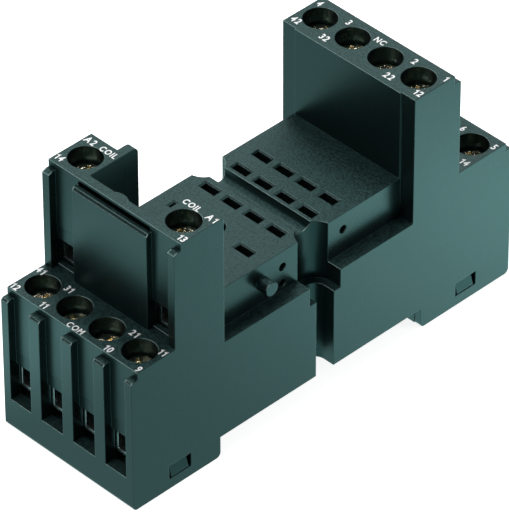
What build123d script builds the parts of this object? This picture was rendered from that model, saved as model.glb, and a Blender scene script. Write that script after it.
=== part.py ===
from build123d import *
import os

# A 14-blade relay socket for a 35 mm rail, in millimetres. X runs across its width, Y along its
# length from the COM terminals to the NO terminals, and Z up from the surface it stands on.
os.makedirs("parts", exist_ok=True)

# Overall body
width = 26.2
length = 75.0
low_top = 24.3
high_top = 42.2
ledge_top = 20.2
seat_top = 27.1
seat_width = 21.2

# Steps along the length: front block, coil tower, then from the rear end the NO block and NC tower
front_step = 8.35
coil_depth = 9.35
rear_step = 10.95
nc_depth = 9.45

# Ribs and wire channels on the end faces
rib_depth = 1.25
rib_drop = 1.25
rib_width = 2.1
rib_chamfer = 0.3
side_wall = 1.35
channel_floor = 5.4
window_depth = 13.1
high_sill = 0.3
step_height = 2.3
step_depth = 0.08

# Terminals
poles = 4
column_inset = 3.35
low_setback = 4.85
high_setback = 5.1
hole_diameter = 5.15
chamber_size = 4.9
chamber_lip = 0.5
chamber_depth = 7.1

# Coil tower
block_width = 6.7
wall_thickness = 1.5
plate_width = 14.8
plate_step = 0.25
plate_chamfer = 0.4
edge_reach = 0.1
pocket_width = 14.2
pocket_height = 6.0
pocket_depth = 0.6
pocket_roof = 0.5
fin_thickness = 1.5
fin_length = 2.5
fin_radius = 0.9
bump_width = 2.9
bump_depth = 0.45

# Rear tower front, a shallow panel between two set back bands
panel_width = 21.0
panel_depth = 0.25

# Mounting slots for M3 screws and the relay seat between them
mount_y = -0.15
mount_centre = 11.2
mount_slot = 3.5
counterbore_width = 6.1
counterbore_floor = 17.0
groove_width = 3.0

# Blade slots, rows counted from the mounting slots
blade_pitch = 4.4
slot_length = 2.8
slot_width = 1.25
slot_lead = 0.25
no_row = 2.95
nc_row = 7.1
com_row = -3.25
coil_row = -9.4
key_hole_y = -9.0
key_hole_diameter = 3.3
key_hole_depth = 6.0

# Peg and small holes on the near side of the seat
peg_diameter = 2.2
peg_length = 2.05
peg_y = -10.1
peg_z = 23.8
side_hole_diameter = 1.35
side_hole_depth = 1.5
side_hole_offset = 5.95
side_hole_high = 24.35
side_hole_low = 21.4

# Rail recess and base plate
rail_depth = 3.5
rail_front = -20.7
rail_rear = 19.3
rail_width = 35.0
base_clearance = 0.15
base_wall = 1.1
foot_height = 4.6
foot_bottom = 0.3
foot_floor = 1.5
foot_rib = 1.2
foot_cells = 3
bridge_width = 16.0
bridge_thickness = 1.5
hook_width = 12.0
hook_reach = 2.0
hook_height = 1.3
hook_gap = 1.15
tab_y = 28.5
window_width = 4.2
window_low = 1.75
window_high = 4.1
tab_width = 3.3
tab_clearance = 0.15
tab_inset = 0.05
tab_slope = 0.6
corner_radius = 0.8

# Screws, cages and contacts
head_diameter = 4.7
head_height = 1.7
head_depth = 2.6
shank_diameter = 3.0
bar_depth = 13.0
bar_thickness = 0.9
bar_width = 2.6
tip_gap = 0.15
cage_width = 4.6
cage_length = 4.8
cage_offset = 0.4
cage_sheet = 0.6
cage_bend = 0.4
cage_top_plate = 1.4
cage_hole_diameter = 3.3
cage_hole_sides = 8
cage_rest_gap = 2.0
cage_gap = 1.9
high_lane = 15.0
lane_clearance = 0.3
lane_straight = 1.2
jog_length = 7.0
riser_gap = 0.35
fork_width = 2.4
fork_sheet = 0.4
fork_base = 16.9
fork_top = 25.0
fork_neck = 22.2
fork_base_half = 1.0
fork_neck_gap = 0.6
fork_mouth_half = 1.25
fork_cavity_length = 3.0
fork_cavity_width = 3.0
fork_roof = 1.4

# Places worked out from the sizes above
front = -length / 2
rear = length / 2
coil_front = front + front_step
coil_back = coil_front + coil_depth
nc_back = rear - rear_step
nc_front = nc_back - nc_depth
seat_length = nc_front - coil_back
wall_front = coil_front + rib_depth
wall_back = wall_front + wall_thickness
block_inner = width / 2 - block_width
wing_inner = width / 2 - side_wall
pitch = (width - 2 * column_inset) / (poles - 1)

columns = [pitch * (i - (poles - 1) / 2) for i in range(poles)]
blade_columns = [blade_pitch * (i - (poles - 1) / 2) for i in range(poles)]
com_y = front + low_setback
coil_y = coil_front + high_setback
nc_y = nc_back - high_setback
no_y = rear - low_setback
coil_axes = [(columns[0], coil_y), (columns[-1], coil_y)]
coil_blades = [(blade_columns[0], mount_y + coil_row), (blade_columns[-1], mount_y + coil_row)]
blade_places = [(x, mount_y + row) for row in (com_row, no_row, nc_row) for x in blade_columns]
blade_places += coil_blades

low_bar = low_top - bar_depth
high_bar = high_top - bar_depth
low_chamber_top = low_top - chamber_depth
high_chamber_top = high_top - chamber_depth
cage_drop = high_top - low_top
base_top = foot_height + base_clearance
cage_bottom = base_top + cage_rest_gap
high_chamber_floor = base_top + cage_drop
chamber_length = chamber_size + chamber_lip
pocket_half = width / 2 - base_wall

# Each channel as its middle and its width: the outer pair is narrower than the inner pair
outer_channel = width / 2 - side_wall - pitch - rib_width / 2
inner_channel = pitch - rib_width
outer_middle = pitch + rib_width / 2 + outer_channel / 2
inner_middle = pitch / 2
channels = [(-outer_middle, outer_channel), (-inner_middle, inner_channel),
            (inner_middle, inner_channel), (outer_middle, outer_channel)]
coil_channel = wing_inner - plate_width / 2
coil_channel_middle = plate_width / 2 + coil_channel / 2
coil_channels = [(-coil_channel_middle, coil_channel), (coil_channel_middle, coil_channel)]


def lane_points(terminal, y_start, y_end, half_width):
    """Plan of a strip that runs back from its bar and jogs across to its blade."""
    y_lane = terminal.jog_start + terminal.way * jog_length
    return [
        (terminal.x - half_width, y_start),
        (terminal.x - half_width, terminal.jog_start),
        (terminal.x_blade - half_width, y_lane),
        (terminal.x_blade - half_width, y_end),
        (terminal.x_blade + half_width, y_end),
        (terminal.x_blade + half_width, y_lane),
        (terminal.x + half_width, terminal.jog_start),
        (terminal.x + half_width, y_start),
    ]


def fork_points(y):
    """Side view of the two sprung leaves that grip a blade at y."""
    neck_half = fork_neck_gap / 2 + fork_sheet
    return [
        (y - fork_base_half, fork_base - fork_sheet),
        (y - neck_half, fork_neck),
        (y - fork_mouth_half, fork_top),
        (y - fork_mouth_half + fork_sheet, fork_top),
        (y - fork_neck_gap / 2, fork_neck),
        (y - fork_base_half + fork_sheet, fork_base),
        (y + fork_base_half - fork_sheet, fork_base),
        (y + fork_neck_gap / 2, fork_neck),
        (y + fork_mouth_half - fork_sheet, fork_top),
        (y + fork_mouth_half, fork_top),
        (y + neck_half, fork_neck),
        (y + fork_base_half, fork_base - fork_sheet),
    ]


class Terminal:
    """One terminal: its number, its screw axis, its rim, and the blade it feeds."""

    def __init__(self, number, x, y, rim, x_blade, y_blade):
        self.number = number
        self.x = x
        self.y = y
        self.rim = rim
        self.x_blade = x_blade
        self.y_blade = y_blade
        self.way = 1 if y_blade > y else -1
        self.high = rim > low_top
        self.chamber_y = y - self.way * chamber_lip / 2
        self.cage_y = y - self.way * cage_offset
        self.bar_top = rim - bar_depth
        self.lane_bottom = high_lane if self.high else self.bar_top - bar_thickness
        chamber_end = y + self.way * chamber_size / 2
        self.riser_y = chamber_end + self.way * riser_gap
        self.bar_start = y - self.way * cage_length / 2
        self.lane_start = self.riser_y if self.high else self.bar_start
        self.jog_start = self.riser_y + self.way * lane_straight


terminals = []
for i, (x, x_blade) in enumerate(zip(columns, blade_columns)):
    terminals.append(Terminal(3 * poles - i, x, com_y, low_top, x_blade, mount_y + com_row))
    terminals.append(Terminal(2 * poles - i, x, no_y, low_top, x_blade, mount_y + no_row))
    terminals.append(Terminal(poles - i, x, nc_y, high_top, x_blade, mount_y + nc_row))
for number, axis, blade in zip((3 * poles + 2, 3 * poles + 1), coil_axes, coil_blades):
    terminals.append(Terminal(number, axis[0], axis[1], high_top, blade[0], blade[1]))
low_terminals = [terminal for terminal in terminals if not terminal.high]
high_terminals = [terminal for terminal in terminals if terminal.high]

# Housing: one moulding, its side view pushed across the width and then cut
with BuildPart() as housing:
    with BuildSketch(Plane.YZ):
        with BuildLine():
            Polyline(
                (front, 0),
                (front, low_top - rib_drop - rib_chamfer),
                (front + rib_chamfer, low_top - rib_drop),
                (front + rib_depth, low_top - rib_drop),
                (front + rib_depth, low_top),
                (coil_front, low_top),
                (coil_front, high_top - rib_drop),
                (wall_front, high_top - rib_drop),
                (wall_front, high_top),
                (coil_back, high_top),
                (coil_back, ledge_top),
                (nc_front, ledge_top),
                (nc_front, high_top),
                (nc_back - rib_depth, high_top),
                (nc_back - rib_depth, high_top - rib_drop),
                (nc_back - rib_chamfer, high_top - rib_drop),
                (nc_back, high_top - rib_drop - rib_chamfer),
                (nc_back, low_top),
                (rear - rib_depth, low_top),
                (rear - rib_depth, low_top - rib_drop),
                (rear - rib_chamfer, low_top - rib_drop),
                (rear, low_top - rib_drop - rib_chamfer),
                (rear, 0),
                (rail_rear, 0),
                (rail_rear, rail_depth),
                (rail_front, rail_depth),
                (rail_front, 0),
                close=True,
            )
        make_face()
    extrude(amount=width / 2, both=True)
    corners = housing.edges().filter_by(Axis.X).group_by(Axis.Z)[0]
    fillet(corners, radius=corner_radius)

    # Relay seat, the gap between the coil blocks, the fin and the bump behind the thin wall
    with BuildSketch(Plane.XY.offset(ledge_top)):
        with Locations((0, (coil_back + nc_front) / 2)):
            Rectangle(seat_width, seat_length)
    extrude(amount=seat_top - ledge_top)
    with BuildSketch(Plane.XY.offset(seat_top)):
        with Locations((0, (wall_back + coil_back) / 2)):
            Rectangle(2 * block_inner, coil_back - wall_back)
    extrude(amount=high_top - seat_top, mode=Mode.SUBTRACT)
    with BuildSketch(Plane.YZ.offset(-block_inner)):
        with BuildLine():
            Polyline(
                (coil_back, seat_top),
                (coil_back, high_top),
                (coil_back + fin_length - fin_radius, high_top),
            )
            RadiusArc(
                (coil_back + fin_length - fin_radius, high_top),
                (coil_back + fin_length, high_top - fin_radius),
                fin_radius,
            )
            Polyline(
                (coil_back + fin_length, high_top - fin_radius),
                (coil_back + fin_length, seat_top),
                (coil_back, seat_top),
            )
        make_face()
    extrude(amount=-fin_thickness)
    with BuildSketch(Plane.XY.offset(seat_top)):
        with BuildLine():
            ThreePointArc(
                (-bump_width / 2, wall_back),
                (0, wall_back + bump_depth),
                (bump_width / 2, wall_back),
            )
            Line((bump_width / 2, wall_back), (-bump_width / 2, wall_back))
        make_face()
    extrude(amount=high_top - seat_top)

    # Wire channels of the four terminal rows, the shallow step in each channel's wall, and the window
    # from each channel into its chamber
    for places, end, way, low, sill, high in (
        (channels, front, -1, channel_floor, channel_floor, low_top),
        (channels, rear, 1, channel_floor, channel_floor, low_top),
        (channels, nc_back, 1, low_top, low_top + high_sill, high_top),
        (coil_channels, coil_front, -1, low_top, low_top + high_sill, high_top),
    ):
        window_top = high - window_depth
        for bottom, top, depth in (
            (low, high, rib_depth),
            (window_top, window_top + step_height, rib_depth + step_depth),
            (sill, window_top, chamber_size / 2),
        ):
            with BuildSketch(Plane.XZ.offset(-end)):
                for middle, channel_width in places:
                    with Locations((middle, (bottom + top) / 2)):
                        Rectangle(channel_width, top - bottom)
            extrude(amount=way * depth, mode=Mode.SUBTRACT)

    # Plate on the tower's front: a step back from the wings, chamfered tops, a pocket behind it
    with BuildSketch(Plane.XZ.offset(-coil_front)):
        with Locations((0, (low_top + high_top) / 2)):
            Rectangle(plate_width, high_top - low_top)
    extrude(amount=-plate_step, mode=Mode.SUBTRACT)
    plate_top = high_top - rib_drop
    plate_front = coil_front + plate_step
    for face_y, size in ((coil_front, rib_chamfer), (plate_front, plate_chamfer)):
        top_edges = (
            housing.edges()
            .filter_by(Axis.X)
            .filter_by_position(Axis.Z, plate_top - edge_reach, plate_top + edge_reach)
            .filter_by_position(Axis.Y, face_y - edge_reach, face_y + edge_reach)
        )
        chamfer(top_edges, length=size)
    with BuildSketch(Plane.XZ.offset(-wall_front)):
        with Locations((0, high_top - pocket_roof - pocket_height / 2)):
            Rectangle(pocket_width, pocket_height)
    extrude(amount=-pocket_depth, mode=Mode.SUBTRACT)

    # Set back bands beside the rear tower's front panel
    band_width = (width - panel_width) / 2
    with BuildSketch(Plane.XZ.offset(-nc_front)):
        with Locations(*[(way * (width - band_width) / 2, (ledge_top + high_top) / 2) for way in (-1, 1)]):
            Rectangle(band_width, high_top - ledge_top)
    extrude(amount=-panel_depth, mode=Mode.SUBTRACT)

    # Chambers, screw holes, and the space that the base plate fills
    with BuildSketch(Plane.XY):
        with Locations(*[(terminal.x, terminal.chamber_y) for terminal in low_terminals]):
            Rectangle(chamber_size, chamber_length)
    extrude(amount=low_chamber_top, mode=Mode.SUBTRACT)
    with BuildSketch(Plane.XY.offset(high_chamber_floor)):
        with Locations(*[(terminal.x, terminal.chamber_y) for terminal in high_terminals]):
            Rectangle(chamber_size, chamber_length)
    extrude(amount=high_chamber_top - high_chamber_floor, mode=Mode.SUBTRACT)
    with BuildSketch(Plane.XY.offset(low_top)):
        with Locations(*[(terminal.x, terminal.y) for terminal in low_terminals]):
            Circle(hole_diameter / 2)
    extrude(amount=-chamber_depth, mode=Mode.SUBTRACT)
    with BuildSketch(Plane.XY.offset(high_top)):
        with Locations(*[(terminal.x, terminal.y) for terminal in high_terminals]):
            Circle(hole_diameter / 2)
    extrude(amount=-chamber_depth, mode=Mode.SUBTRACT)
    for end, recess_end in ((front, rail_front), (rear, rail_rear)):
        inner_end = end - base_wall if end > 0 else end + base_wall
        with BuildSketch(Plane.XY):
            with Locations((0, (inner_end + recess_end) / 2)):
                Rectangle(2 * pocket_half, abs(inner_end - recess_end))
        extrude(amount=base_top, mode=Mode.SUBTRACT)
    with BuildSketch(Plane.XY.offset(rail_depth)):
        with Locations((0, (rail_front + rail_rear) / 2)):
            Rectangle(bridge_width + 2 * base_clearance, rail_rear - rail_front)
    extrude(amount=bridge_thickness + base_clearance, mode=Mode.SUBTRACT)
    with BuildSketch(Plane.YZ):
        with Locations(*[(way * tab_y, (window_low + window_high) / 2) for way in (-1, 1)]):
            Rectangle(window_width, window_high - window_low)
    extrude(amount=width / 2, both=True, mode=Mode.SUBTRACT)

    # Blade slots with the fork cavities below them, the key hole and the cross groove
    with BuildSketch(Plane.XY.offset(seat_top)):
        with Locations(*blade_places):
            Rectangle(slot_length, slot_width)
    extrude(amount=-fork_roof, mode=Mode.SUBTRACT)
    with BuildSketch(Plane.XY.offset(seat_top)):
        with Locations(*blade_places):
            Rectangle(slot_length + 2 * slot_lead, slot_width + 2 * slot_lead)
    extrude(amount=-slot_lead, taper=45, mode=Mode.SUBTRACT)
    with BuildSketch(Plane.XY.offset(fork_base - bar_thickness)):
        with Locations(*blade_places):
            Rectangle(fork_cavity_length, fork_cavity_width)
    extrude(amount=seat_top - fork_roof - fork_base + bar_thickness, mode=Mode.SUBTRACT)
    with BuildSketch(Plane.XY.offset(seat_top)):
        with Locations((0, key_hole_y)):
            Circle(key_hole_diameter / 2)
    extrude(amount=-key_hole_depth, mode=Mode.SUBTRACT)
    with BuildSketch(Plane.YZ):
        with Locations((mount_y, seat_top)):
            Circle(groove_width / 2)
    extrude(amount=seat_width / 2, both=True, mode=Mode.SUBTRACT)

    # Lanes for the contact strips: the low and the high level, then the upright shafts at their ends
    lane_half = bar_width / 2 + lane_clearance
    for level in (low_terminals, high_terminals):
        lane_floor = level[0].lane_bottom - lane_clearance
        with BuildSketch(Plane.XY.offset(lane_floor)):
            for terminal in level:
                y_start = terminal.riser_y if terminal.high else terminal.y
                y_end = terminal.y_blade + terminal.way * fork_cavity_width / 2
                with BuildLine():
                    Polyline(*lane_points(terminal, y_start, y_end, lane_half), close=True)
                make_face()
        extrude(amount=bar_thickness + 2 * lane_clearance, mode=Mode.SUBTRACT)
    with BuildSketch(Plane.XY.offset(high_lane - lane_clearance)):
        for terminal in high_terminals:
            with Locations((terminal.x, terminal.riser_y)):
                Rectangle(2 * lane_half, bar_thickness + 2 * base_clearance)
    extrude(amount=high_bar + 2 * lane_clearance - high_lane, mode=Mode.SUBTRACT)
    with BuildSketch(Plane.XY.offset(low_bar - bar_thickness)):
        for terminal in low_terminals:
            with Locations((terminal.x_blade, terminal.y_blade)):
                Rectangle(2 * lane_half, bar_thickness + 2 * lane_clearance)
    extrude(amount=fork_base - low_bar + bar_thickness, mode=Mode.SUBTRACT)

    # Side slots: a counterbore that also trims the seat, and the narrower screw slot below it
    for way in (-1, 1):
        for slot, floor in ((counterbore_width, counterbore_floor), (mount_slot, 0)):
            with BuildSketch(Plane.XY.offset(floor)):
                with Locations((way * mount_centre, mount_y)):
                    Circle(slot / 2)
                with Locations((way * (mount_centre + width / 2), mount_y)):
                    Rectangle(width, slot)
            extrude(amount=seat_top - floor, mode=Mode.SUBTRACT)

    # Peg and small holes on the near side of the seat
    with BuildSketch(Plane.YZ.offset(seat_width / 2)):
        with Locations((peg_y, peg_z)):
            Circle(peg_diameter / 2)
    extrude(amount=peg_length)
    hole_places = [(mount_y - side_hole_offset, side_hole_high), (mount_y - side_hole_offset, side_hole_low),
                   (mount_y + side_hole_offset, side_hole_high)]
    with BuildSketch(Plane.YZ.offset(seat_width / 2)):
        with Locations(*hole_places):
            Circle(side_hole_diameter / 2)
    extrude(amount=-side_hole_depth, mode=Mode.SUBTRACT)

housing.part.label = "housing"
export_step(housing.part, "parts/housing.step")

# Base plate: two feet joined by a bridge above the rail, four snap tabs and the rail hooks
with BuildPart() as base:
    foot_half = pocket_half - base_clearance
    for end, recess_end in ((front, rail_front), (rear, rail_rear)):
        way = 1 if end > 0 else -1
        outer_end = end - way * (base_wall + base_clearance)
        foot_length = abs(outer_end - recess_end)
        foot_middle = (outer_end + recess_end) / 2
        with BuildSketch(Plane.XY.offset(foot_bottom)):
            with Locations((0, foot_middle)):
                Rectangle(2 * foot_half, foot_length)
        extrude(amount=foot_height - foot_bottom)
        cell_width = (2 * foot_half - (foot_cells + 1) * foot_rib) / foot_cells
        with BuildSketch(Plane.XY.offset(foot_bottom)):
            with Locations((0, foot_middle)):
                with GridLocations(cell_width + foot_rib, 1, foot_cells, 1):
                    Rectangle(cell_width, foot_length - 2 * foot_rib)
        extrude(amount=foot_height - foot_floor - foot_bottom, mode=Mode.SUBTRACT)
    with BuildSketch(Plane.XY.offset(rail_depth)):
        with Locations((0, (rail_front + rail_rear) / 2)):
            Rectangle(bridge_width, rail_rear - rail_front)
    extrude(amount=bridge_thickness)
    tab_face = width / 2 - tab_inset
    for way in (-1, 1):
        with BuildSketch(Plane.XZ.offset(-way * tab_y)):
            with BuildLine():
                Polyline(
                    (-tab_face, window_low + tab_clearance),
                    (-tab_face + tab_slope, window_high - tab_clearance),
                    (tab_face - tab_slope, window_high - tab_clearance),
                    (tab_face, window_low + tab_clearance),
                    close=True,
                )
            make_face()
        extrude(amount=tab_width / 2, both=True)
    rail_middle = (rail_front + rail_rear) / 2
    for way, recess_end in ((-1, rail_front), (1, rail_rear)):
        stop = rail_middle + way * (rail_width / 2 + base_clearance)
        tip = stop - way * hook_reach
        hook_top = rail_depth - hook_gap
        with BuildSketch(Plane.YZ):
            with BuildLine():
                Polyline(
                    (recess_end, rail_depth),
                    (recess_end, hook_top - hook_height),
                    (stop, hook_top - hook_height),
                    (tip, hook_top - hook_height / 2),
                    (tip, hook_top),
                    (stop, hook_top),
                    (stop, rail_depth),
                    close=True,
                )
            make_face()
        extrude(amount=hook_width / 2, both=True)

base.part.label = "base"
export_step(base.part, "parts/base.step")


def make_screw(terminal):
    """Terminal screw: a flat head, and a shank that ends just above the bar."""
    head_top = terminal.rim - head_depth
    with BuildPart() as screw:
        with BuildSketch(Plane.XY.offset(head_top)):
            with Locations((terminal.x, terminal.y)):
                Circle(head_diameter / 2)
        extrude(amount=-head_height)
        with BuildSketch(Plane.XY.offset(head_top - head_height)):
            with Locations((terminal.x, terminal.y)):
                Circle(shank_diameter / 2)
        extrude(amount=-(head_top - head_height - terminal.bar_top - tip_gap))
    screw.part.label = f"screw_{terminal.number}"
    export_step(screw.part, f"parts/screw_{terminal.number}.step")


def make_cage(terminal):
    """Clamp cage: a folded sleeve round the bar, open to the wire, with a many-sided screw hole on top."""
    bottom = cage_bottom + (cage_drop if terminal.high else 0)
    inner_top = terminal.bar_top + cage_gap
    top = inner_top + cage_top_plate
    with BuildPart() as cage:
        with BuildSketch(Plane.XZ.offset(-terminal.cage_y)):
            with Locations((terminal.x, (bottom + top) / 2)):
                outline = Rectangle(cage_width, top - bottom)
            chamfer(outline.vertices(), length=cage_bend)
            with Locations((terminal.x, (bottom + cage_sheet + inner_top) / 2)):
                Rectangle(cage_width - 2 * cage_sheet, inner_top - bottom - cage_sheet, mode=Mode.SUBTRACT)
        extrude(amount=cage_length / 2, both=True)
        with BuildSketch(Plane.XY.offset(top)):
            with Locations((terminal.x, terminal.y)):
                RegularPolygon(cage_hole_diameter / 2, cage_hole_sides, major_radius=False)
        extrude(amount=-cage_top_plate, mode=Mode.SUBTRACT)
    cage.part.label = f"cage_{terminal.number}"
    export_step(cage.part, f"parts/cage_{terminal.number}.step")


def make_contact(terminal):
    """Contact strip: clamp bar, riser in a tower, lane, and the fork below the blade slot."""
    half_bar = bar_width / 2
    y_end = terminal.y_blade + terminal.way * bar_thickness / 2
    lane = lane_points(terminal, terminal.lane_start, y_end, half_bar)
    fork = fork_points(terminal.y_blade)
    with BuildPart() as contact:
        with BuildSketch(Plane.XY.offset(terminal.lane_bottom)):
            with BuildLine():
                Polyline(*lane, close=True)
            make_face()
        extrude(amount=bar_thickness)
        if terminal.high:
            bar_end = terminal.riser_y + terminal.way * bar_thickness / 2
            with BuildSketch(Plane.XY.offset(terminal.bar_top)):
                with Locations((terminal.x, (terminal.bar_start + bar_end) / 2)):
                    Rectangle(bar_width, abs(bar_end - terminal.bar_start))
            extrude(amount=-bar_thickness)
            with BuildSketch(Plane.XY.offset(terminal.lane_bottom)):
                with Locations((terminal.x, terminal.riser_y)):
                    Rectangle(bar_width, bar_thickness)
            extrude(amount=terminal.bar_top - terminal.lane_bottom)
        with BuildSketch(Plane.XY.offset(terminal.lane_bottom)):
            with Locations((terminal.x_blade, terminal.y_blade)):
                Rectangle(fork_width, bar_thickness)
        extrude(amount=fork_base - terminal.lane_bottom)
        with BuildSketch(Plane.YZ.offset(terminal.x_blade - fork_width / 2)):
            with BuildLine():
                Polyline(*fork, close=True)
            make_face()
        extrude(amount=fork_width)
    contact.part.label = f"contact_{terminal.number}"
    export_step(contact.part, f"parts/contact_{terminal.number}.step")


for terminal in terminals:
    make_screw(terminal)
    make_cage(terminal)
    make_contact(terminal)
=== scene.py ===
import math

import bmesh
import bpy
from mathutils import Matrix, Vector


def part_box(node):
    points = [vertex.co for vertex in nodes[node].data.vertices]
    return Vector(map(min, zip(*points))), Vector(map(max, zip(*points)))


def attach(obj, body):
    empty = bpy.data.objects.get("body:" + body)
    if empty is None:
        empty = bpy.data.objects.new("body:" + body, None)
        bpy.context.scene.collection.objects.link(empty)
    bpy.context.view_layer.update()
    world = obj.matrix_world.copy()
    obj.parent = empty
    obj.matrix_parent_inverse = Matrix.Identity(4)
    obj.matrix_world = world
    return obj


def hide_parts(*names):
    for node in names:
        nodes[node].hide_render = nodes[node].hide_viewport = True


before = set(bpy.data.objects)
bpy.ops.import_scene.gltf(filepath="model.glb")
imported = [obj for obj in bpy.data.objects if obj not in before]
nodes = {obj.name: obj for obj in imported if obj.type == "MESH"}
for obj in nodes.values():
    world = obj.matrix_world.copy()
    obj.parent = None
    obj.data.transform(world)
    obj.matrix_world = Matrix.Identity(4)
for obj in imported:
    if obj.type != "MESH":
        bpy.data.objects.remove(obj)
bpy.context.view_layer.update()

mm = 0.001

# Housing. The black moulding that carries everything: two terminal blocks, two towers and the relay
# seat between them. Such housings are shot in one piece from glass-filled polyamide. The tops are
# grained, and the walls are smoother and keep a soft sheen.


class Tone:
    """One output among a material's nodes. Sums written on it become Math nodes."""

    def __init__(self, graph, socket):
        self.graph = graph
        self.socket = socket

    def sum(self, operation, first, second):
        return self.graph.node("ShaderNodeMath", {"operation": operation}, {0: first, 1: second})

    def __add__(self, other):
        return self.sum("ADD", self, other)

    def __radd__(self, other):
        return self.sum("ADD", other, self)

    def __rsub__(self, other):
        return self.sum("SUBTRACT", other, self)

    def __mul__(self, other):
        return self.sum("MULTIPLY", self, other)

    def __rmul__(self, other):
        return self.sum("MULTIPLY", other, self)


class Graph:
    """The node tree of a material or of the world."""

    def __init__(self, tree):
        self.tree = tree

    def node(self, kind, settings, sockets, output=0):
        made = self.tree.nodes.new(kind)
        for key, value in settings.items():
            setattr(made, key, value)
        for key, value in sockets.items():
            self.put(made.inputs[key], value)
        return Tone(self, made.outputs[output])

    def put(self, socket, value):
        if isinstance(value, Tone):
            self.tree.links.new(value.socket, socket)
        else:
            socket.default_value = value

    def ray(self, kind):
        return self.node("ShaderNodeLightPath", {}, {}, kind)


class Finish(Graph):
    """A surface of this socket, built round one Principled shader."""

    def __init__(self, name):
        self.material = bpy.data.materials.new(name)
        self.material.use_nodes = True
        super().__init__(self.material.node_tree)
        self.shader = self.tree.nodes["Principled BSDF"]

    def set(self, **values):
        for key, value in values.items():
            self.put(self.shader.inputs[key.replace("_", " ")], value)

    def place(self):
        return self.node("ShaderNodeTexCoord", {}, {}, "Object")

    def noise(self, scale, detail, where=None):
        sockets = {"Vector": where or self.place(), "Scale": scale, "Detail": detail}
        return self.node("ShaderNodeTexNoise", {}, sockets, "Fac")

    def band(self, value, low, high, bottom=0.0, top=1.0):
        sockets = {"Value": value, "From Min": low, "From Max": high, "To Min": bottom, "To Max": top}
        return self.node("ShaderNodeMapRange", {"interpolation_type": "SMOOTHSTEP"}, sockets, "Result")

    def mix(self, factor, first, second):
        sockets = {"Factor": factor, 6: first, 7: second}
        return self.node("ShaderNodeMix", {"data_type": "RGBA"}, sockets, 2)

    def vector(self, operation, first, second):
        settings = {"operation": operation}
        return self.node("ShaderNodeVectorMath", settings, {0: first, 1: second}, "Value")

    def occlusion(self, reach, samples, inside):
        settings = {"samples": samples, "inside": inside}
        return self.node("ShaderNodeAmbientOcclusion", settings, {"Distance": reach}, "AO")

    def bump(self, height, strength, distance, normal):
        sockets = {"Strength": strength, "Distance": distance, "Height": height, "Normal": normal}
        return self.node("ShaderNodeBump", {}, sockets, "Normal")

    def rounded(self, radius):
        return self.node("ShaderNodeBevel", {"samples": 6}, {"Radius": radius}, "Normal")


moulded_edge = 0.16 * mm
edge_reach = 0.25 * mm
sky_reach = 7.0 * mm
grain_depth = 0.2 * mm
pit_scale = 2700.0
patch_scale = 150.0
face_start = 0.6
face_full = 0.9
highlight_way = (0.0, -0.707, 0.707)
housing_shade = [0.0036, 0.0062, 0.0064, 1.0]
grain_and_lit_top_shade = [0.027, 0.060, 0.059, 1.0]
worn_and_highlit_shade = [0.022, 0.036, 0.036, 1.0]
edge_highlight_shade = [0.42, 0.60, 0.58, 1.0]
cool_tint = [0.5, 1.0, 0.97, 1.0]


def moulded(name, shade, worn_and_highlit, sheen, grain):
    """Black plastic with grain and sheen. Painted light: open tops lighter and hollows darker, convex
    edges paler from wear and painted highlight, and a painted highlight line on top-front edges.
    """
    finish = Finish(name)
    rounded = finish.rounded(moulded_edge)
    inner = finish.occlusion(edge_reach, samples=4, inside=True)
    edge = finish.band(1.0 - inner, low=0.05, high=0.4)
    # Painted highlight: a pale line painted on convex edges that lean towards the top and the front,
    # where the lamps above and in front would catch them.
    lean = finish.vector("DOT_PRODUCT", rounded, highlight_way)
    edge_highlight = finish.band(lean, low=0.8, high=0.95) * edge
    faces = finish.node("ShaderNodeTexCoord", {}, {}, "Normal")
    up = finish.node("ShaderNodeSeparateXYZ", {}, {"Vector": faces}, "Z")
    ahead = finish.node("ShaderNodeSeparateXYZ", {}, {"Vector": faces}, "Y")
    sky = finish.occlusion(sky_reach, samples=2, inside=False)
    # Up-facing faces open to the sky. Their lighter colour below is painted light; up-facing faces in
    # hollows keep the dark colour, as painted shade.
    top = finish.band(up, face_start, face_full) * finish.band(sky, low=0.3, high=0.65)
    front = finish.band(-1.0 * ahead, face_start, face_full)
    skin = 0.03 + 0.97 * top + 0.07 * front
    pits = finish.noise(pit_scale, detail=5.0)
    cloud = finish.noise(patch_scale, detail=3.0)
    speck = finish.band(pits, low=0.38, high=0.62)
    pale = [1.8 * part for part in shade[:3]] + [1.0]
    tint = finish.mix(0.3 * cloud + 0.3 * speck * skin, shade, pale)
    # Grained colour on the open tops: real grain, painted lighter as painted light from above.
    tint = finish.mix(top * (0.15 + 0.85 * speck), tint, grain_and_lit_top_shade)
    # Convex edges painted paler: partly wear, partly painted highlight.
    tint = finish.mix(0.5 * edge, tint, worn_and_highlit)
    finish.set(
        # The painted highlight line on the top-front edges goes on last.
        Base_Color=finish.mix(edge_highlight, tint, edge_highlight_shade),
        Roughness=sheen + 0.27 * top + 0.07 * front + 0.05 * cloud + 0.08 * speck * skin,
        Specular_Tint=cool_tint,
        Normal=finish.bump(pits * skin, grain, grain_depth, rounded),
    )
    return finish.material


housing_plastic = moulded("housing_plastic", housing_shade, worn_and_highlit_shade, sheen=0.25, grain=0.8)
nodes["housing"].material_slots[0].material = housing_plastic

# Base plate. A second black moulding, snapped in from below with four wedge tabs that show in the
# small windows near the feet. It closes the terminal chambers and carries the hooks for the rail. It
# is the same plastic, a little paler and with less grain.

base_shade = [0.010, 0.018, 0.018, 1.0]
base_plastic = moulded("base_plastic", base_shade, worn_and_highlit_shade, sheen=0.24, grain=0.2)
nodes["base"].material_slots[0].material = base_plastic

# Terminal screws. Captive M3 steel screws with a broad flat head, a cross recess and a threaded
# shank that ends just above the contact bar. They are plated a warm yellow and finely marked. Each
# one stands at its own angle, as left by the driver.

plating_scale = 700.0


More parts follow.
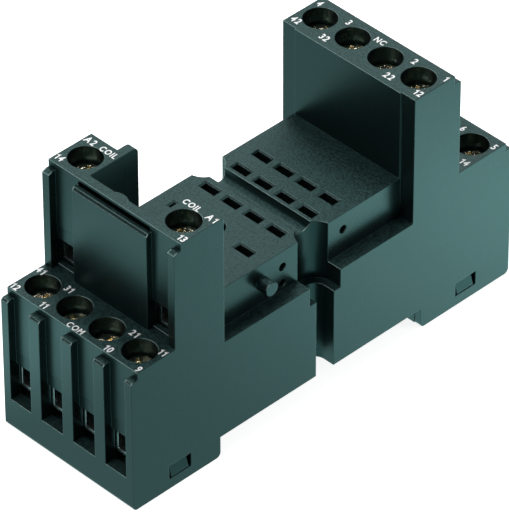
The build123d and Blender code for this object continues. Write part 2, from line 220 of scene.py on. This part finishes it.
def plated(name, shade, dull, rough, marks_scale, marks_depth, edge_radius):
    """Metal with a cloudy tint and fine marks from the lathe or the rolls."""
    finish = Finish(name)
    cloud = finish.noise(plating_scale, detail=4.0)
    stretched = finish.node("ShaderNodeMapping", {}, {"Vector": finish.place(), "Scale": marks_scale})
    marks = finish.noise(1.0, detail=3.0, where=stretched)
    finish.set(
        Base_Color=finish.mix(finish.band(cloud, low=0.35, high=0.7), shade, dull),
        Metallic=1.0,
        Roughness=rough + 0.14 * cloud + 0.06 * marks,
        Normal=finish.bump(marks, 1.0, marks_depth, finish.rounded(edge_radius)),
    )
    return finish.material


screw_metal = plated(
    "screw_metal",
    shade=[1.0, 0.91, 0.70, 1.0],
    dull=[0.80, 0.67, 0.44, 1.0],
    rough=0.06,
    marks_scale=(2600.0, 2600.0, 900.0),
    marks_depth=0.11 * mm,
    edge_radius=0.1 * mm,
)
head_radius = 2.35 * mm
head_height = 1.7 * mm
head_chamfer = 0.2 * mm
head_dome = 0.06 * mm
recess_reach = 1.6 * mm
recess_half = 0.28 * mm
recess_depth = 0.6 * mm
thread_pitch = 0.5 * mm
thread_radius = 1.49 * mm
thread_root = 1.22 * mm
round_steps = 36
thread_steps = 18
recess_lean = 0.08 * mm
tip_radius = 0.7 * mm
tip_bevel = 0.4 * mm
ridge_half = 0.2 * mm
ridge_sink = 0.03 * mm
thread_gap = 0.5 * mm
thread_stop = 0.6 * mm
merge_reach = 0.001 * mm
turn_apart = 47
grid_half = 1.0
numbers = range(1, 15)

first_low, first_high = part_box("screw_1")
screw_length = first_high.z - first_low.z
bm = bmesh.new()
cells = bmesh.ops.create_grid(bm, x_segments=3, y_segments=3, size=grid_half)["verts"]
for vert in cells:
    for axis in (0, 1):
        reach = recess_reach if abs(vert.co[axis]) > grid_half / 2 else recess_half
        vert.co[axis] = math.copysign(reach, vert.co[axis])
cross = []
for face in bm.faces:
    centre = face.calc_center_median()
    if min(abs(centre.x), abs(centre.y)) < recess_half:
        cross.append(face)
outer = [e for e in bm.edges if e.is_boundary]
rim_radius = head_radius - head_chamfer
rim = bmesh.ops.create_circle(bm, segments=round_steps, radius=rim_radius)["verts"]
bmesh.ops.translate(bm, verts=rim, vec=(0.0, 0.0, -head_dome))
outer += list({e for v in rim for e in v.link_edges})
bmesh.ops.bridge_loops(bm, edges=outer)
bmesh.ops.inset_region(
    bm, faces=cross, thickness=recess_lean, depth=-recess_depth, use_even_offset=True
)
turned = [
    bm.verts.new((radius, 0.0, height))
    for radius, height in (
        (rim_radius, -head_dome),
        (head_radius, -head_dome - head_chamfer),
        (head_radius, -head_height),
        (thread_root, -head_height),
        (thread_root, -screw_length + tip_bevel),
        (tip_radius, -screw_length),
        (0.0, -screw_length),
    )
]
turned += [bm.edges.new(pair) for pair in zip(turned, turned[1:])]
bmesh.ops.spin(
    bm,
    geom=turned,
    axis=(0.0, 0.0, 1.0),
    cent=(0.0, 0.0, 0.0),
    angle=math.tau,
    steps=round_steps,
    use_merge=True,
)
thread_start = -head_height - thread_gap
turns = int((screw_length + thread_start - thread_stop) / thread_pitch)
ridge = [
    bm.verts.new((thread_root - ridge_sink, 0.0, thread_start)),
    bm.verts.new((thread_radius, 0.0, thread_start - ridge_half)),
    bm.verts.new((thread_root - ridge_sink, 0.0, thread_start - 2 * ridge_half)),
]
ridge += [bm.edges.new(pair) for pair in zip(ridge, ridge[1:])]
bmesh.ops.spin(
    bm,
    geom=ridge,
    axis=(0.0, 0.0, 1.0),
    cent=(0.0, 0.0, 0.0),
    dvec=(0.0, 0.0, -thread_pitch / thread_steps),
    angle=math.tau * turns,
    steps=thread_steps * turns,
)
bmesh.ops.remove_doubles(bm, verts=bm.verts, dist=merge_reach)
bmesh.ops.recalc_face_normals(bm, faces=bm.faces)
screw_pattern = bpy.data.meshes.new("screw_pattern")
bm.to_mesh(screw_pattern)
bm.free()
screw_pattern.materials.append(screw_metal)
for number in numbers:
    low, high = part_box(f"screw_{number}")
    middle = (low + high) / 2
    mesh = screw_pattern.copy()
    spot = Matrix.Translation((middle.x, middle.y, high.z))
    mesh.transform(spot @ Matrix.Rotation(math.radians(turn_apart * number), 4, "Z"))
    screw = bpy.data.objects.new(f"terminal_screw_{number}", mesh)
    bpy.context.collection.objects.link(screw)
    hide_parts(f"screw_{number}")
    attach(screw, f"screw_{number}")
bpy.data.meshes.remove(screw_pattern)

# Clamp cages. Folded from steel strip, zinc plated, and tapped in the top fold. Each one rides up its
# screw and pulls the wire against the contact bar. Their folded edges show in the wire windows.

cage_metal = plated(
    "cage_metal",
    shade=[0.62, 0.66, 0.66, 1.0],
    dull=[0.36, 0.38, 0.38, 1.0],
    rough=0.2,
    marks_scale=(900.0, 5000.0, 900.0),
    marks_depth=0.006 * mm,
    edge_radius=0.22 * mm,
)
for number in numbers:
    nodes[f"cage_{number}"].material_slots[0].material = cage_metal

# Contact strips. Punched from brass strip: clamp bar, riser, lane, and the fork that grips the
# relay's blade. They are pushed into the housing before the base plate closes it.

contact_brass = plated(
    "contact_brass",
    shade=[0.90, 0.68, 0.36, 1.0],
    dull=[0.58, 0.42, 0.22, 1.0],
    rough=0.24,
    marks_scale=(900.0, 5000.0, 900.0),
    marks_depth=0.006 * mm,
    edge_radius=0.08 * mm,
)
for number in numbers:
    nodes[f"contact_{number}"].material_slots[0].material = contact_brass

# Printed numbers. White ink, pad printed on the four block tops: each terminal's own number towards
# the outside, the contact's number on the other side of the hole, and the name of the row.

white_ink = Finish("white_ink")
ink_scale = 2600.0
cover = white_ink.band(white_ink.noise(ink_scale, detail=3.0), low=0.28, high=0.5)
white_ink.set(
    Base_Color=white_ink.mix(cover, [0.76, 0.81, 0.81, 1.0], [0.97, 0.98, 0.98, 1.0]),
    Roughness=0.6 - 0.1 * cover,
)
letter_height = 1.25 * mm
letter_narrow = 0.84
letter_gap = 0.22 * mm
drawn_size = 1.5 * letter_height
curve_steps = 5
word_size = 0.88
ink_thick = 0.02 * mm
ink_spread = 0.05 * mm
flag_size = (0.24 * mm, 0.55 * mm, 2 * ink_thick)
flag_turn = math.radians(-50)
flag_left = 0.07 * mm
flag_drop = 0.25 * mm
tower_rise = 17.9 * mm
glyphs = {}


def glyph(letter):
    """Flat mesh of one letter, its left end at zero and its foot on the line, with its width."""
    if letter not in glyphs:
        line = bpy.data.curves.new("letter", "FONT")
        line.body = letter
        line.size = drawn_size
        line.extrude = ink_thick
        line.offset = ink_spread
        line.resolution_u = curve_steps
        shown = bpy.data.objects.new("letter", line)
        bpy.context.collection.objects.link(shown)
        flat = bpy.data.meshes.new_from_object(shown)
        bpy.data.objects.remove(shown)
        bm = bmesh.new()
        bm.from_mesh(flat)
        if letter == "1":
            tip = max(v.co.y for v in bm.verts)
            flag = bmesh.ops.create_cube(bm, size=1.0)["verts"]
            bmesh.ops.scale(bm, verts=flag, vec=flag_size)
            slant = Matrix.Rotation(flag_turn, 3, "Z")
            bmesh.ops.rotate(bm, verts=flag, matrix=slant, cent=(0.0, 0.0, 0.0))
            left = min(v.co.x for v in bm.verts if v not in flag)
            bmesh.ops.translate(bm, verts=flag, vec=(left - flag_left, tip - flag_drop, 0.0))
        rise = max(v.co.y for v in bm.verts) - min(v.co.y for v in bm.verts)
        stretch = letter_height / rise
        bmesh.ops.scale(bm, verts=bm.verts, vec=(stretch * letter_narrow, stretch, 1.0))
        left = min(v.co.x for v in bm.verts)
        foot = min(v.co.y for v in bm.verts)
        bmesh.ops.translate(bm, verts=bm.verts, vec=(-left, -foot, 0.0))
        bm.to_mesh(flat)
        glyphs[letter] = (flat, max(v.co.x for v in bm.verts))
        bm.free()
    return glyphs[letter]


low_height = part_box("housing")[1].z - tower_rise
high_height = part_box("housing")[1].z
prints = {
    "print_com": (low_height, [
        ("12", -12.3, -35.45), ("41", -12.36, -30.55), ("11", -6.6, -35.35), ("31", -6.65, -30.55),
        ("COM", 0.1, -35.65), ("10", 6.5, -35.45), ("21", 6.65, -30.7), ("11", 12.3, -30.75),
        ("9", 12.55, -35.5),
    ]),
    "print_coil": (high_height, [
        ("14", -12.2, -26.6), ("A2", -11.9, -21.05), ("COIL", -8.3, -21.05),
        ("13", 12.35, -26.85), ("COIL", 8.15, -20.95), ("A1", 12.1, -21.05),
    ]),
    "print_nc": (high_height, [
        ("4", -12.2, 23.85), ("42", -11.8, 18.7), ("3", -6.15, 23.65), ("32", -6.05, 18.65),
        ("NC", 0.05, 23.65), ("2", 6.78, 23.75), ("22", 6.62, 18.75), ("1", 12.65, 23.95),
        ("12", 12.2, 18.9),
    ]),
    "print_no": (low_height, [
        ("8", -12.2, 34.5), ("44", -12.0, 28.9), ("7", -6.1, 34.5), ("34", -6.1, 28.9),
        ("NO", 0.1, 34.5), ("6", 6.4, 34.4), ("24", 6.5, 28.9), ("5", 12.5, 34.45),
        ("14", 11.95, 28.9),
    ]),
}
for name, (height, words) in prints.items():
    bm = bmesh.new()
    for word, x, y in words:
        letters = [glyph(letter) for letter in word]
        size = word_size if word.isalpha() else 1.0
        reach = sum(wide for flat, wide in letters) + letter_gap * (len(word) - 1)
        start = x * mm - size * reach / 2
        for flat, wide in letters:
            here = flat.copy()
            spot = Matrix.Translation((start, y * mm - size * letter_height / 2, height))
            here.transform(spot @ Matrix.Diagonal((size, size, 1.0, 1.0)))
            bm.from_mesh(here)
            bpy.data.meshes.remove(here)
            start += size * (wide + letter_gap)
    mesh = bpy.data.meshes.new(name)
    bm.to_mesh(mesh)
    bm.free()
    mesh.materials.append(white_ink.material)
    piece = bpy.data.objects.new(name, mesh)
    bpy.context.collection.objects.link(piece)
    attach(piece, "body")
for flat, wide in glyphs.values():
    bpy.data.meshes.remove(flat)

# Table and light. A white sweep, evenly bright to the camera. To reflections alone it glows teal, a
# painted reflection
# with a wide bright pool behind the socket and a small one in front, under a pale tent. Four soft
# panels stand round it:
# the largest at the rear left, one above that, one high in front, and the weakest at the rear right.

sweep = Finish("white_sweep")
wide_pool = (0.026, 0.052, 0.0)
small_pool = (-0.027, -0.054, 0.0)
table_lift = 0.86
table_half = 2.5
behind = sweep.vector("DISTANCE", sweep.place(), wide_pool)
before = sweep.vector("DISTANCE", sweep.place(), small_pool)
wide_glow = sweep.band(behind, low=-0.03, high=0.078, bottom=3.05, top=0.95)
small_glow = sweep.band(before, low=0.0, high=0.022, bottom=1.3, top=0.0)
glow = wide_glow + small_glow
sweep.set(Base_Color=[0.8, 0.8, 0.8, 1.0], Roughness=1.0)
own = Tone(sweep, sweep.shader.outputs["BSDF"])
lift = sweep.node("ShaderNodeEmission", {}, {"Color": (1.0, 1.0, 1.0, 1.0), "Strength": table_lift})
lifted = sweep.node("ShaderNodeAddShader", {}, {0: own, 1: lift})
# Painted reflection: a teal glow that only reflections see, brightest in the two pools.
painted_reflection_glow = sweep.node("ShaderNodeEmission", {}, {"Color": (0.6, 1.0, 0.99, 1.0), "Strength": glow})
shown = sweep.node("ShaderNodeMixShader", {}, {0: sweep.ray("Is Camera Ray"), 1: own, 2: lifted})
shown = sweep.node("ShaderNodeMixShader", {}, {0: sweep.ray("Is Glossy Ray"), 1: shown, 2: painted_reflection_glow})
sweep.put(sweep.tree.nodes["Material Output"].inputs["Surface"], shown)

bm = bmesh.new()
bmesh.ops.create_grid(bm, x_segments=1, y_segments=1, size=table_half)
table_mesh = bpy.data.meshes.new("table")
bm.to_mesh(table_mesh)
bm.free()
table_mesh.materials.append(sweep.material)
table = bpy.data.objects.new("table", table_mesh)
bpy.context.collection.objects.link(table)

world = bpy.data.worlds.new("tent")
bpy.context.scene.world = world
world.use_nodes = True
tent = Graph(world.node_tree)
cloth = tent.node("ShaderNodeBackground", {}, {"Color": (1.0, 1.0, 1.0, 1.0), "Strength": 0.2})
for ray, colour, strength in (
    ("Is Glossy Ray", (0.65, 1.0, 1.0, 1.0), 0.13),
    ("Is Camera Ray", (1.0, 1.0, 1.0, 1.0), 1.0),
):
    other = tent.node("ShaderNodeBackground", {}, {"Color": colour, "Strength": strength})
    cloth = tent.node("ShaderNodeMixShader", {}, {0: tent.ray(ray), 1: cloth, 2: other})
tent.put(tent.tree.nodes["World Output"].inputs["Surface"], cloth)

for name, place, size, power in (
    ("panel_rear", (-0.89, 0.87, 1.01), 1.3, 12.0),
    ("panel_high", (-0.45, 0.45, 1.36), 0.5, 5.0),
    ("panel_front", (-0.15, -0.62, 1.35), 0.5, 7.5),
    ("panel_right", (1.2, 1.0, 1.0), 0.8, 4.0),
):
    lamp = bpy.data.lights.new(name, "AREA")
    lamp.shape = "SQUARE"
    lamp.size = size
    lamp.energy = power
    lit = bpy.data.objects.new(name, lamp)
    lit.location = place
    lit.rotation_euler = (-Vector(place)).to_track_quat("-Z", "Y").to_euler()
    lit.visible_camera = False
    bpy.context.collection.objects.link(lit)

# Camera. A very long lens from the front right and above. Its place and its three directions were
# fitted to points read off the photo.

right = Vector((0.69963509, 0.71449700, -0.00218432))
up = Vector((-0.44900876, 0.44204308, 0.77652370))
back = Vector((0.55578942, -0.54230245, 0.63008426))
stand = Vector((0.46832366, -0.45814221, 0.54812913))
focal_pixels = 5968.496
photo_width = 509.0
view = bpy.data.cameras.new("camera")
view.sensor_fit = "HORIZONTAL"
view.sensor_width = 36.0
view.lens = focal_pixels * view.sensor_width / photo_width
camera = bpy.data.objects.new("camera", view)
camera.matrix_world = Matrix((
    (right.x, up.x, back.x, stand.x),
    (right.y, up.y, back.y, stand.y),
    (right.z, up.z, back.z, stand.z),
    (0.0, 0.0, 0.0, 1.0),
))
bpy.context.collection.objects.link(camera)
bpy.context.scene.camera = camera
bpy.context.scene.view_settings.view_transform = "Standard"
